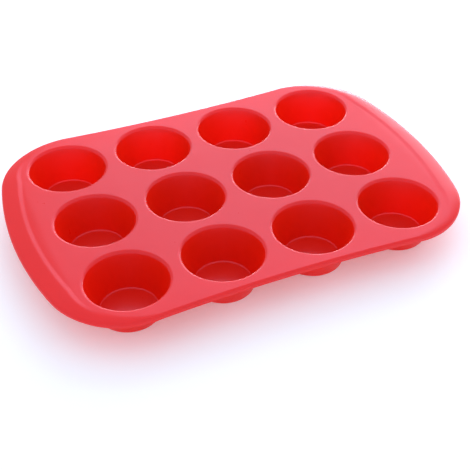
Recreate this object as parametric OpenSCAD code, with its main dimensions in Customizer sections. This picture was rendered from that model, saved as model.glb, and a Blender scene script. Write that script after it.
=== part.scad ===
/* [Cups] */
// Number of cups along the length
columns = 4; // [3:1:5]
// Distance between neighbouring cup centres, the same both ways
pitch = 78; // [74:1:82]
// Inside diameter of a cup where its wall would meet the deck's top
mouth_d = 65.5; // [60:0.5:66]
// Inside diameter of a cup where its wall would meet the floor
floor_d = 47; // [40:0.5:52]
// Depth of a cup from the deck's top to its floor
cup_depth = 30; // [24:0.5:36]
// Thickness of a cup's wall, measured level
wall_t = 1.7; // [1.2:0.1:2.2]
// Thickness of a cup's floor
floor_t = 1.8; // [1.2:0.1:3]
// Radius of the soft lip where the deck turns down into a cup
lip_r = 3; // [1.5:0.1:3.2]
// Radius inside, between a cup's wall and its floor
floor_r = 1.6; // [0.8:0.1:3]
// Radius outside, round the foot of a cup
foot_r = 2.8; // [1.5:0.1:4]

/* [Deck] */
// Distance from the centres of the last cups to the end of a grip
end_margin = 67; // [66.5:0.5:72]
// Distance from the centres of the outer rows to the edge of a long side, at its waist
side_margin = 42.5; // [42:0.5:46]
// Radius of the hollow curve along each long side
waist_r = 1500; // [1100:10:2200]
// Radius of the four corners
corner_r = 64; // [60:1:65]
// Radius of the bowed ends
end_r = 322; // [306:1:340]
// Thickness of the sheet everywhere outside the cups
sheet_t = 2; // [1.6:0.1:2.2]
// Radius of the collar that joins a cup to the deck
collar_r = 36; // [35.6:0.1:36.4]

/* [Edge] */
// Width of the strip along a long side that holds the folded edge
lip_w = 4; // [3.6:0.1:4.2]
// Depth of the folded edge below the deck's top
skirt_h = 4.3; // [3.6:0.1:6]
// Radius of the fold at the top of that edge
fold_r = 2.4; // [2.2:0.1:3]

/* [Grips] */
// Width of a grip at the middle of an end, with the stretch that leads up to its riser
grip_w = 26; // [22:0.5:27]
// Distance from the outer edge to the soft riser across a grip
riser_in = 15.5; // [12:0.5:18]
// Width of that riser
riser_w = 5; // [3:0.5:7]
// Height of the riser
grip_rise = 0.7; // [0.4:0.1:1.6]
// How far the middle of a grip's outer edge hangs down
grip_droop = 4; // [0:0.5:8]
// Thickness of a grip's rim
rim_h = 2.8; // [2.6:0.1:4]
// Radius along the top of a grip's rim
rim_r = 1.5; // [1:0.1:2]

/* [Hidden] */
$fn = 96;
ROW_NAMES = ["front", "middle", "back"];
rows = len(ROW_NAMES);
length = (columns - 1) * pitch + 2 * end_margin;
waist_w = (rows - 1) * pitch + 2 * side_margin;
deck_z = floor_t + cup_depth;

// Steps along a grip, and points in each stretch of its section
GRIP_STEPS = 56;
APPROACH_STEPS = 3;
RISER_STEPS = 5;
PLATE_STEPS = 3;
FOLD_STEPS = 4;
ARC_STEPS = 8;
// Facets of a full turn at the waist's radius, for steps of about 10 mm
WAIST_FN = 720;

// The plan's outline: a hollow arc along each long side, a corner arc and a bowed end arc, all tangent
waist_y = waist_w / 2 + waist_r;
end_x = length / 2 - end_r;
corner = circles_meet([0, waist_y], waist_r + corner_r, [end_x, 0], end_r - corner_r);
waist_angle = asin(corner.x / (waist_r + corner_r));
end_angle = atan2(corner.y, corner.x - end_x);
end_run = end_r * end_angle * PI / 180;
tip_angle = 90 + waist_angle;
grip_run = end_run + corner_r * (tip_angle - end_angle) * PI / 180;

function cup_name(r, c) = str("cup_", ROW_NAMES[r], "_", c + 1);
function cup_x(c) = (c - (columns - 1) / 2) * pitch;
function cup_y(r) = (r - (rows - 1) / 2) * pitch;

// Points of an arc round [x, y], from angle a to angle b
function arc(x, y, r, a, b, n = ARC_STEPS) =
    [for (i = [0:n]) let (t = a + (b - a) * i / n) [x + r * cos(t), y + r * sin(t)]];

// The crossing of two circles that lies further along +X
function circles_meet(p, rp, q, rq) =
    let (d = norm(q - p), u = (q - p) / d, along = (rp * rp - rq * rq + d * d) / (2 * d))
    let (off = sqrt(rp * rp - along * along))
    p + u * along + [-u.y, u.x] * off;

// Smooth step from 0 to 1
function ease(t) = t * t * (3 - 2 * t);

// A point of a grip's outline at the signed run s from the middle of the end, with its outward direction
function edge_angle(s) =
    let (a = abs(s))
    sign(s) * (a < end_run ? a / end_r : end_angle * PI / 180 + (a - end_run) / corner_r) * 180 / PI;
function edge_point(s, u) =
    let (a = edge_angle(s), out = [cos(a), sin(a)])
    abs(s) < end_run
        ? [end_x, 0] + (end_r - u) * out
        : [corner.x, sign(s) * corner.y] + (corner_r - u) * out;

// How much of a full grip is left at the run s: 1 at the middle, 0 at both tips
function fullness(s) = pow(max(cos(90 * s / grip_run), 0), 1.3);
function grip_width(s) = lip_w + (grip_w - lip_w) * fullness(s);

// How much of the riser's height is left at the run s: it fades out into the corners
function riser_left(s) = 1 - ease(min(1, max(0, abs(s) / grip_run - 0.5) / 0.3));

// The whole section of a grip at the run s, as a closed loop of [u, z]: u is measured in from the edge,
// and z from the deck's top
function grip_section(s) =
    let (full = fullness(s), w = grip_width(s), swell = ease(min(1, 2 * full)))
    let (fold = fold_r + (rim_r - fold_r) * swell, skirt = skirt_h + (rim_h - skirt_h) * swell)
    let (half = min(riser_w / 2, 0.3 * (w - fold)), middle = min(riser_in, w - half - 0.05 * (w - fold)))
    let (rise = grip_rise * riser_left(s), plate = middle - half - fold)
    let (top = concat(
        [for (i = [0:APPROACH_STEPS]) [w - (w - middle - half) * i / APPROACH_STEPS, 0]],
        [for (i = [1:RISER_STEPS]) let (t = i / RISER_STEPS) [middle + half - 2 * half * t, rise * ease(t)]],
        [for (i = [1:PLATE_STEPS]) [middle - half - plate * i / PLATE_STEPS, rise]]
    ))
    let (flat = concat(
        top,
        [for (i = [1:FOLD_STEPS]) let (a = 90 * i / FOLD_STEPS)
            [fold * (1 - sin(a)), rise - fold * (1 - cos(a))]],
        [[0, rise - skirt], [sheet_t, rise - skirt], [sheet_t, rise - sheet_t]],
        [for (i = [len(top) - 2:-1:0]) top[i] - [0, sheet_t]]
    ))
    [for (p = flat) [p.x, p.y - grip_droop * sqrt(full) * pow((w - p.x) / w, 2)]];

// One end of the moulding: the section swept along the end's edge
module grip() {
    loops = [for (i = [0:GRIP_STEPS]) grip_section(grip_run * (2 * i / GRIP_STEPS - 1))];
    m = len(loops[0]);
    points = [
        for (i = [0:GRIP_STEPS]) let (s = grip_run * (2 * i / GRIP_STEPS - 1))
            for (p = loops[i]) let (q = edge_point(s, p.x)) [q.x, q.y, deck_z + p.y]
    ];
    sides = [
        for (i = [0:GRIP_STEPS - 1]) for (j = [0:m - 1]) let (k = (j + 1) % m)
            each [[i * m + j, i * m + k, (i + 1) * m + k], [i * m + j, (i + 1) * m + k, (i + 1) * m + j]]
    ];
    first = [for (j = [m - 1:-1:0]) j];
    last = [for (j = [0:m - 1]) GRIP_STEPS * m + j];
    polyhedron(points, concat(sides, [first, last]), convexity = 6);
}

module right_grip() {
    color([0.88, 0.30, 0.35]) grip();
}

module left_grip() {
    color([0.88, 0.30, 0.35]) mirror([1, 0, 0]) grip();
}

// The folded edge of one long side: level, then turned down into a short skirt
module lip() {
    profile = concat(
        [[lip_w, 0]],
        arc(fold_r, -fold_r, fold_r, 90, 180),
        [[0, -skirt_h], [sheet_t, -skirt_h], [sheet_t, -sheet_t], [lip_w, -sheet_t]]
    );
    translate([0, waist_y, deck_z])
        rotate([0, 0, -90 - waist_angle])
            rotate_extrude(angle = 2 * waist_angle, $fn = WAIST_FN)
                translate([waist_r, 0]) polygon(profile);
}

module back_lip() {
    color([0.87, 0.24, 0.29]) lip();
}

module front_lip() {
    color([0.87, 0.24, 0.29]) mirror([0, 1, 0]) lip();
}

// The flat web between the cups, the lips and the grips
module deck() {
    right = [
        for (i = [0:GRIP_STEPS]) let (s = grip_run * (2 * i / GRIP_STEPS - 1))
            edge_point(s, grip_width(s))
    ];
    left = [for (i = [GRIP_STEPS:-1:0]) [-right[i].x, right[i].y]];
    color([0.90, 0.34, 0.39])
        translate([0, 0, deck_z - sheet_t])
            linear_extrude(sheet_t)
                difference() {
                    polygon(concat(right, left));
                    for (side = [-1, 1]) translate([0, side * waist_y]) circle(waist_r + lip_w, $fn = WAIST_FN);
                    for (r = [0:rows - 1]) for (c = [0:columns - 1])
                        translate([cup_x(c), cup_y(r)]) circle(collar_r);
                }
}

// One cup: a tapered bowl with a soft lip and a level collar at the deck's height
module cup(r, c) {
    mouth = mouth_d / 2;
    taper = atan((mouth_d - floor_d) / 2 / cup_depth);
    half = (90 - taper) / 2;
    under = deck_z - sheet_t;
    foot = floor_d / 2 - floor_t * tan(taper) + wall_t;
    collar_in = mouth - sheet_t * tan(taper) + wall_t;
    under_r = lip_r - wall_t + 0.6;
    profile = concat(
        [[0, floor_t]],
        arc(floor_d / 2 - floor_r * tan(half), floor_t + floor_r, floor_r, -90, -taper),
        arc(mouth + lip_r * tan(half), deck_z - lip_r, lip_r, 180 - taper, 90),
        [[collar_r, deck_z], [collar_r, under]],
        arc(collar_in + under_r * tan(half), under - under_r, under_r, 90, 180 - taper),
        arc(foot - foot_r * tan(half), foot_r, foot_r, -taper, -90),
        [[0, 0]]
    );
    color([0.80, 0.10, 0.09])
        translate([cup_x(c), cup_y(r), 0])
            rotate_extrude() polygon(profile);
}

deck();
front_lip();
back_lip();
left_grip();
right_grip();
for (r = [0:rows - 1]) for (c = [0:columns - 1])
    cup(r, c);
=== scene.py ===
"""A twelve-cup muffin mould in red silicone on a pale studio floor, in metres and radians."""
import math

import bpy
import numpy as np
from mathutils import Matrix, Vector
from mathutils.geometry import delaunay_2d_cdt


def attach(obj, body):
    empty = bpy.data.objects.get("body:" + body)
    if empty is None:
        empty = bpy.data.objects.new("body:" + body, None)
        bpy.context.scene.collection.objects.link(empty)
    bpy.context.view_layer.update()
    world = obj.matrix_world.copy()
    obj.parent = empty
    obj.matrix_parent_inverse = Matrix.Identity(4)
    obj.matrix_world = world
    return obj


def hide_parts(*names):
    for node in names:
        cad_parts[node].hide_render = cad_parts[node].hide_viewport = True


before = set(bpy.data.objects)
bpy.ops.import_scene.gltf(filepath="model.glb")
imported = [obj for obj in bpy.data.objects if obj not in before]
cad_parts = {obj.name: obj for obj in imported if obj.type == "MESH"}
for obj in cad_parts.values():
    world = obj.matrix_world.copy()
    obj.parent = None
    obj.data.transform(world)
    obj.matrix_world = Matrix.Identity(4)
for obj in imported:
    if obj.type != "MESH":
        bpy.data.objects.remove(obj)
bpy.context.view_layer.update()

# The moulding's sizes, the same as the CAD's
COLUMNS = 4
ROW_NAMES = ("front", "middle", "back")
PITCH = 0.078
MOUTH_R = 0.03275
FLOOR_R = 0.0235
CUP_DEPTH = 0.030
WALL = 0.0017
FLOOR = 0.0018
CUP_LIP_R = 0.0030
FLOOR_FILLET_R = 0.0016
FOOT_FILLET_R = 0.0028
LENGTH = 0.368
WAIST_W = 0.241
WAIST_R = 1.500
CORNER_R = 0.064
END_R = 0.322
SHEET = 0.002
COLLAR_R = 0.036
LIP_W = 0.004
SKIRT = 0.0043
FOLD_R = 0.0024
GRIP_W = 0.026
RISER_IN = 0.0155
RISER_W = 0.005
GRIP_RISE = 0.0007
GRIP_DROOP = 0.004
RIM = 0.0028
RIM_R = 0.0015
# How much rounder the corner under a cup's lip is than an even wall would make it
UNDER_EXTRA = 0.0006
DECK_Z = FLOOR + CUP_DEPTH

# Small roundings under the edge, where the CAD has sharp corners
EDGE_R = 0.0005
INNER_R = 0.0002

# How finely each stretch is divided
CUP_STEPS = 128
GRIP_STEPS = 168
LONG_STEPS = 132
APPROACH_STEPS = 8
RISER_STEPS = 14
PLATE_STEPS = 8
ARC_STEPS = 10
SMALL_ARC_STEPS = 3
CUP_LIP_STEPS = 14
WALL_STEPS = 8
FLOOR_RINGS = 8
# The outermost of a floor's rings, as a share of its flat part
FLOOR_RING_END = 0.92
DECK_GRID = 0.007
# Grid points of the deck nearer than this to a point of its outlines are left out
DECK_CLEAR = 0.45 * DECK_GRID
# A level strip beside a soft corner, so that the shading stays flat on the deck
LEVEL_STRIP = 0.0002

# How fast a grip narrows towards its tips, and the share of its run over which the riser fades out
GRIP_POWER = 1.3
FADE_START = 0.5
FADE_LENGTH = 0.3
# Where a grip is narrow: the most of it that half the riser takes, and what stays level beside the deck
RISER_SHARE = 0.3
APPROACH_SHARE = 0.05

# A radius below this lies on the axis, and the triangulation takes points nearer than WELD as one
ON_AXIS = 1e-9
WELD = 1e-7
# delaunay_2d_cdt's output type for the triangles inside the given edges
INSIDE_EDGES = 1


def ease(t):
    return t * t * (3 - 2 * t)


def arc(x, y, r, a, b, steps=ARC_STEPS):
    """Points of an arc round (x, y), from angle a to angle b."""
    return [(x + r * math.cos(t), y + r * math.sin(t)) for t in np.linspace(a, b, steps + 1)]


def circles_meet(p, rp, q, rq):
    """The crossing of two circles that lies further along +X."""
    p, q = np.array(p), np.array(q)
    d = np.linalg.norm(q - p)
    u = (q - p) / d
    along = (rp * rp - rq * rq + d * d) / (2 * d)
    return p + u * along + np.array((-u[1], u[0])) * math.sqrt(rp * rp - along * along)


# The plan's outline: a hollow arc along each long side, a corner arc and a bowed end arc, all tangent
WAIST_Y = WAIST_W / 2 + WAIST_R
END_X = LENGTH / 2 - END_R
CORNER = circles_meet((0, WAIST_Y), WAIST_R + CORNER_R, (END_X, 0), END_R - CORNER_R)
WAIST_ANGLE = math.asin(CORNER[0] / (WAIST_R + CORNER_R))
END_ANGLE = math.atan2(CORNER[1], CORNER[0] - END_X)
END_RUN = END_R * END_ANGLE
GRIP_RUN = END_RUN + CORNER_R * (math.pi / 2 + WAIST_ANGLE - END_ANGLE)


def end_point(s, u):
    """The plan point u inside the right end's edge, at the signed run s from its middle."""
    a = abs(s)
    if a < END_RUN:
        t, centre, r = s / END_R, (END_X, 0), END_R
    else:
        t = math.copysign(END_ANGLE + (a - END_RUN) / CORNER_R, s)
        centre, r = (CORNER[0], math.copysign(CORNER[1], s)), CORNER_R
    return centre[0] + (r - u) * math.cos(t), centre[1] + (r - u) * math.sin(t)


def side_point(b, u):
    """The plan point u inside the back edge, at the angle b round the centre of its hollow arc."""
    return (WAIST_R + u) * math.sin(b), WAIST_Y - (WAIST_R + u) * math.cos(b)


def fullness(s):
    """How much of a full grip is left at the run s: 1 at the middle of an end, 0 at both tips."""
    return max(math.cos(math.pi / 2 * s / GRIP_RUN), 0) ** GRIP_POWER


def grip_width(s):
    return LIP_W + (GRIP_W - LIP_W) * fullness(s)


def riser_left(s):
    """How much of the riser's height is left at the run s: it fades out into the corners."""
    return 1 - ease(min(1, max(0, abs(s) / GRIP_RUN - FADE_START) / FADE_LENGTH))


def edge_section(w, full, riser):
    """The skin round the edge as (u, z): out over the fold, round the rim and back underneath."""
    swell = ease(min(1, 2 * full))
    fold = FOLD_R + (RIM_R - FOLD_R) * swell
    skirt = SKIRT + (RIM - SKIRT) * swell
    half = min(RISER_W / 2, RISER_SHARE * (w - fold))
    middle = min(RISER_IN, w - half - APPROACH_SHARE * (w - fold))
    rise = GRIP_RISE * riser
    top = [(w, 0)] + [(u, 0) for u in np.linspace(w, middle + half, APPROACH_STEPS + 1)[1:]]
    steps = np.linspace(0, 1, RISER_STEPS + 1)[1:]
    top += [(middle + half - 2 * half * t, rise * ease(t)) for t in steps]
    top += [(u, rise) for u in np.linspace(middle - half, fold, PLATE_STEPS + 1)[1:-1]]
    loop = top + arc(fold, rise - fold, fold, math.pi / 2, math.pi)
    low = EDGE_R + rise - skirt
    loop += arc(EDGE_R, low, EDGE_R, math.pi, 1.5 * math.pi, SMALL_ARC_STEPS)
    loop += arc(SHEET - EDGE_R, low, EDGE_R, -math.pi / 2, 0, SMALL_ARC_STEPS)
    loop += arc(SHEET + INNER_R, rise - SHEET - INNER_R, INNER_R, math.pi, math.pi / 2, SMALL_ARC_STEPS)
    loop += [(u, z - SHEET) for u, z in reversed(top)]
    return [(u, z - GRIP_DROOP * math.sqrt(full) * ((w - u) / w) ** 2) for u, z in loop]


def cup_section():
    """A cup's skin as two runs of (r, z): the inside out to the collar, and the outside back again."""
    taper = math.atan((MOUTH_R - FLOOR_R) / CUP_DEPTH)
    half = (math.pi / 2 - taper) / 2
    under = DECK_Z - SHEET
    under_r = CUP_LIP_R - WALL + UNDER_EXTRA
    foot = FLOOR_R - FLOOR * math.tan(taper) + WALL
    collar = MOUTH_R - SHEET * math.tan(taper) + WALL
    flat = FLOOR_R - FLOOR_FILLET_R * math.tan(half)
    inner = [(r, FLOOR) for r in np.linspace(0, FLOOR_RING_END, FLOOR_RINGS) * flat]
    inner += arc(flat, FLOOR + FLOOR_FILLET_R, FLOOR_FILLET_R, -math.pi / 2, -taper)
    lip = arc(MOUTH_R + CUP_LIP_R * math.tan(half), DECK_Z - CUP_LIP_R, CUP_LIP_R,
              math.pi - taper, math.pi / 2, CUP_LIP_STEPS)
    inner += between(inner[-1], lip[0], WALL_STEPS) + lip
    inner += [(lip[-1][0] + LEVEL_STRIP, DECK_Z), (COLLAR_R, DECK_Z)]
    fillet = arc(collar + under_r * math.tan(half), under - under_r, under_r, math.pi / 2, math.pi - taper)
    outer = [(COLLAR_R, under), (fillet[0][0] + LEVEL_STRIP, under)] + fillet
    heel = arc(foot - FOOT_FILLET_R * math.tan(half), FOOT_FILLET_R, FOOT_FILLET_R, -taper, -math.pi / 2)
    outer += between(fillet[-1], heel[0], WALL_STEPS) + heel
    outer += [(r, 0) for r in np.linspace(FLOOR_RING_END, 0, FLOOR_RINGS) * heel[-1][0]]
    return inner, outer


def between(p, q, steps):
    """Evenly spaced points strictly between two points."""
    p, q = np.array(p), np.array(q)
    return [tuple(p + (q - p) * t) for t in np.linspace(0, 1, steps + 1)[1:-1]]


def swept(rings):
    """Points and faces of a strip through a list of rings of equal length."""
    m = len(rings[0])
    faces = [(i * m + j, i * m + j + 1, (i + 1) * m + j + 1, (i + 1) * m + j)
             for i in range(len(rings) - 1) for j in range(m - 1)]
    return [p for ring in rings for p in ring], faces


def revolved(profile):
    """Points and faces of a profile of (r, z) turned about Z; an end on the axis becomes one point."""
    turn = [2 * math.pi * k / CUP_STEPS for k in range(CUP_STEPS)]
    points, rows = [], []
    for r, z in profile:
        if r < ON_AXIS:
            rows.append([len(points)] * CUP_STEPS)
            points.append((0.0, 0.0, z))
        else:
            rows.append(list(range(len(points), len(points) + CUP_STEPS)))
            points += [(r * math.cos(t), r * math.sin(t), z) for t in turn]
    faces = []
    for low, high in zip(rows, rows[1:]):
        for k in range(CUP_STEPS):
            n = (k + 1) % CUP_STEPS
            corners = (low[k], high[k], high[n], low[n])
            faces.append(tuple(dict.fromkeys(corners)))
    return points, faces


def joined(*parts):
    """Several (points, faces) in one."""
    points, faces = [], []
    for p, f in parts:
        faces += [tuple(i + len(points) for i in face) for face in f]
        points += p
    return points, faces


def turned(part):
    """The same (points, faces) after half a turn about Z."""
    return [(-x, -y, z) for x, y, z in part[0]], part[1]


def grip_part():
    rings = []
    for s in np.linspace(-GRIP_RUN, GRIP_RUN, GRIP_STEPS + 1):
        section = edge_section(grip_width(s), fullness(s), riser_left(s))
        rings.append([(*end_point(s, u), DECK_Z + z) for u, z in section])
    return swept(rings)


def lip_part():
    section = edge_section(LIP_W, 0, 0)
    return swept([[(*side_point(b, u), DECK_Z + z) for u, z in section]
                  for b in np.linspace(WAIST_ANGLE, -WAIST_ANGLE, LONG_STEPS + 1)])


def cup_part():
    inner, outer = cup_section()
    return joined(revolved(inner), revolved(outer))


def cup_centre(row, column):
    return ((column - (COLUMNS - 1) / 2) * PITCH, (row - (len(ROW_NAMES) - 1) / 2) * PITCH)


CUPS = [(name, column, cup_centre(row, column))
        for row, name in enumerate(ROW_NAMES) for column in range(COLUMNS)]


def deck_part():
    """The web between cups and edges, its top and underside triangulated to meet the neighbours' points."""
    end = [end_point(s, grip_width(s)) for s in np.linspace(-GRIP_RUN, GRIP_RUN, GRIP_STEPS + 1)]
    side = [side_point(b, LIP_W) for b in np.linspace(WAIST_ANGLE, -WAIST_ANGLE, LONG_STEPS + 1)]
    half_outline = end[:-1] + side[:-1]
    outline = half_outline + [(-x, -y) for x, y in half_outline]
    turn = [2 * math.pi * k / CUP_STEPS for k in range(CUP_STEPS)]
    ring = [(COLLAR_R * math.cos(t), COLLAR_R * math.sin(t)) for t in turn]
    loops = [outline] + [[(x + cx, y + cy) for x, y in ring] for _, _, (cx, cy) in CUPS]
    points, edges, owner = [], [], []
    for number, loop in enumerate(loops):
        first = len(points)
        points += loop
        owner += [number] * len(loop)
        edges += [(first + k, first + (k + 1) % len(loop)) for k in range(len(loop))]
    fixed = np.array(points)
    outer = np.array(outline)
    centres = np.array([c for _, _, c in CUPS])
    for x in np.arange(-LENGTH / 2, LENGTH / 2, DECK_GRID):
        for y in np.arange(-WAIST_W, WAIST_W, DECK_GRID):
            inside = inside_loop(x, y, outer)
            clear = np.hypot(*(fixed - (x, y)).T).min() > DECK_CLEAR
            if inside and clear and np.hypot(*(centres - (x, y)).T).min() > COLLAR_R:
                points.append((float(x), float(y)))
                owner.append(-1)
    plan = [Vector(p) for p in points]
    made, _, triangles, ids, _, _ = delaunay_2d_cdt(plan, edges, [], INSIDE_EDGES, WELD, True)
    owners = [{owner[i] for i in group} for group in ids]
    kept = []
    for triangle in triangles:
        a, b, c = (made[i] for i in triangle)
        middle = (a + b + c) / 3
        in_hole = set.intersection(*[owners[i] for i in triangle]) - {0, -1}
        if not in_hole and inside_loop(middle.x, middle.y, outer):
            clockwise = (b - a).cross(c - a) < 0
            kept.append(tuple(reversed(triangle)) if clockwise else tuple(triangle))
    top = [(v.x, v.y, DECK_Z) for v in made]
    underside = [(x, y, DECK_Z - SHEET) for x, y, _ in top]
    return joined((top, kept), (underside, [tuple(reversed(t)) for t in kept]))


def inside_loop(x, y, loop):
    """True if the point is inside the closed loop."""
    x0, y0 = loop.T
    x1, y1 = np.roll(loop, -1, axis=0).T
    crosses = (y0 > y) != (y1 > y)
    with np.errstate(divide="ignore", invalid="ignore"):
        at = x0 + (y - y0) * (x1 - x0) / (y1 - y0)
    return bool(np.count_nonzero(crosses & (x < at)) % 2)


def make_piece(name, part, material, place=(0, 0, 0)):
    mesh = bpy.data.meshes.new(name)
    mesh.from_pydata(part[0], [], part[1])
    mesh.validate()
    mesh.polygons.foreach_set("use_smooth", [True] * len(mesh.polygons))
    mesh.materials.append(material)
    return place_piece(name, mesh, place)


def place_piece(name, mesh, place):
    piece = bpy.data.objects.new(f"moulded_{name}", mesh)
    piece.location = place
    bpy.context.scene.collection.objects.link(piece)
    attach(piece, "root")
    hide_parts(name)
    return piece


# ---------------------------------------------------------------- material

def silicone():
    """Satin red silicone: fine grain, faint unevenness, and some light let through."""
    material = bpy.data.materials.new("silicone")
    material.use_nodes = True
    nodes, links = material.node_tree.nodes, material.node_tree.links
    nodes.clear()

    def add(kind, **inputs):
        node = nodes.new(kind)
        for key, value in inputs.items():
            node.inputs[key.replace("_", " ")].default_value = value
        return node

    where = add("ShaderNodeNewGeometry")
    tint = add("ShaderNodeTexNoise", Scale=22.0, Detail=3.0, Roughness=0.5)
    wave = add("ShaderNodeTexNoise", Scale=30.0, Detail=2.0, Roughness=0.5)
    grain = add("ShaderNodeTexNoise", Scale=1400.0, Detail=4.0, Roughness=0.6)
    patch = add("ShaderNodeTexNoise", Scale=70.0, Detail=5.0, Roughness=0.6)
    for node in (tint, wave, grain, patch):
        links.new(where.outputs["Position"], node.inputs["Vector"])

    # Inputs 6 and 7 of a colour mix are its two colours, and output 2 is the result
    colour = nodes.new("ShaderNodeMix")
    colour.data_type = "RGBA"
    colour.inputs[6].default_value = (0.860, 0.0170, 0.0010, 1)
    colour.inputs[7].default_value = (0.900, 0.0230, 0.0020, 1)
    links.new(tint.outputs["Fac"], colour.inputs["Factor"])

    rough = add("ShaderNodeMapRange", To_Min=0.24, To_Max=0.36)
    links.new(patch.outputs["Fac"], rough.inputs["Value"])

    uneven = add("ShaderNodeBump", Strength=0.25, Distance=0.0012)
    links.new(wave.outputs["Fac"], uneven.inputs["Height"])
    fine = add("ShaderNodeBump", Strength=0.12, Distance=0.0001)
    links.new(grain.outputs["Fac"], fine.inputs["Height"])
    links.new(uneven.outputs["Normal"], fine.inputs["Normal"])

    surface = add("ShaderNodeBsdfPrincipled", IOR=1.64)
    surface.inputs["Specular Tint"].default_value = (1.0, 0.92, 1.28, 1)
    links.new(colour.outputs[2], surface.inputs["Base Color"])
    links.new(rough.outputs["Result"], surface.inputs["Roughness"])
    links.new(fine.outputs["Normal"], surface.inputs["Normal"])
    through = add("ShaderNodeBsdfTranslucent", Color=(1.0, 0.05, 0.03, 1))
    mixed = add("ShaderNodeMixShader", Fac=0.42)
    links.new(surface.outputs["BSDF"], mixed.inputs[1])
    links.new(through.outputs["BSDF"], mixed.inputs[2])
    output = nodes.new("ShaderNodeOutputMaterial")
    links.new(mixed.outputs["Shader"], output.inputs["Surface"])
    return material


def floor_material():
    material = bpy.data.materials.new("floor")
    material.use_nodes = True
    nodes, links = material.node_tree.nodes, material.node_tree.links
    surface = nodes["Principled BSDF"]
    surface.inputs["Base Color"].default_value = (0.88, 1.00, 1.00, 1)
    surface.inputs["Roughness"].default_value = 0.7
    surface.inputs["Specular IOR Level"].default_value = 0.2
    surface.inputs["Emission Color"].default_value = (1, 1, 1, 1)
    surface.inputs["Emission Strength"].default_value = 0.15
    return material


# ---------------------------------------------------------------- the moulding

red = silicone()
make_piece("deck", deck_part(), red)
grip = grip_part()
make_piece("right_grip", grip, red)
make_piece("left_grip", turned(grip), red)
lip = lip_part()
make_piece("back_lip", lip, red)
make_piece("front_lip", turned(lip), red)
cup_mesh = None
for name, column, (x, y) in CUPS:
    piece_name = f"cup_{name}_{column + 1}"
    if cup_mesh is None:
        cup_mesh = make_piece(piece_name, cup_part(), red, (x, y, 0)).data
        cup_mesh.name = "cup"
    else:
        place_piece(piece_name, cup_mesh, (x, y, 0))

# ---------------------------------------------------------------- floor, light and camera

STUDIO_SIZE = 8.0
LAMP_COLOUR = (1.0, 0.94, 1.08)
LOW_LAMP_COLOUR = (1.0, 0.97, 1.03)

floor_mesh = bpy.data.meshes.new("studio_floor")
half = STUDIO_SIZE / 2
floor_mesh.from_pydata([(-half, -half, 0), (half, -half, 0), (half, half, 0), (-half, half, 0)],
                       [], [(0, 1, 2, 3)])
floor_mesh.materials.append(floor_material())
floor = bpy.data.objects.new("studio_floor", floor_mesh)
bpy.context.scene.collection.objects.link(floor)

world = bpy.data.worlds.new("studio")
world.use_nodes = True
world.node_tree.nodes["Background"].inputs["Color"].default_value = (0.97, 0.93, 1.07, 1)
world.node_tree.nodes["Background"].inputs["Strength"].default_value = 0.93
bpy.context.scene.world = world


def area_light(name, place, aim, size, power, colour):
    light = bpy.data.lights.new(name, "AREA")
    light.shape = "RECTANGLE"
    light.size, light.size_y = size
    light.energy = power
    light.color = colour
    lamp = bpy.data.objects.new(name, light)
    lamp.location = place
    lamp.rotation_euler = (Vector(aim) - Vector(place)).to_track_quat("-Z", "Y").to_euler()
    bpy.context.scene.collection.objects.link(lamp)


# All three stand behind the mould on its right: one high, one low, and one near the floor
area_light("key", place=(1.3, 1.9, 1.6), aim=(0, 0, 0),
           size=(2.4, 1.4), power=18, colour=LAMP_COLOUR)
area_light("low", place=(0.85, 1.2, 0.30), aim=(0, 0, 0.03),
           size=(1.8, 0.5), power=4, colour=LAMP_COLOUR)
area_light("under", place=(0.8, 1.0, 0.06), aim=(0.05, 0.05, 0.015),
           size=(1.6, 0.10), power=10, colour=LOW_LAMP_COLOUR)

CAMERA_AZIMUTH = math.radians(-23.847)
CAMERA_ELEVATION = math.radians(39.366)
CAMERA_DISTANCE = 0.770
CAMERA_AIM = Vector((-0.02215, -0.06279, DECK_Z))
CAMERA_LENS = 75.1
CAMERA_SENSOR = 36
back = Vector((math.sin(CAMERA_AZIMUTH) * math.cos(CAMERA_ELEVATION),
               -math.cos(CAMERA_AZIMUTH) * math.cos(CAMERA_ELEVATION),
               math.sin(CAMERA_ELEVATION)))
camera = bpy.data.objects.new("camera", bpy.data.cameras.new("camera"))
camera.data.lens = CAMERA_LENS
camera.data.sensor_width = CAMERA_SENSOR
camera.location = CAMERA_AIM + back * CAMERA_DISTANCE
camera.rotation_euler = (-back).to_track_quat("-Z", "Y").to_euler()
bpy.context.scene.collection.objects.link(camera)
bpy.context.scene.camera = camera
bpy.context.scene.view_settings.view_transform = "Standard"
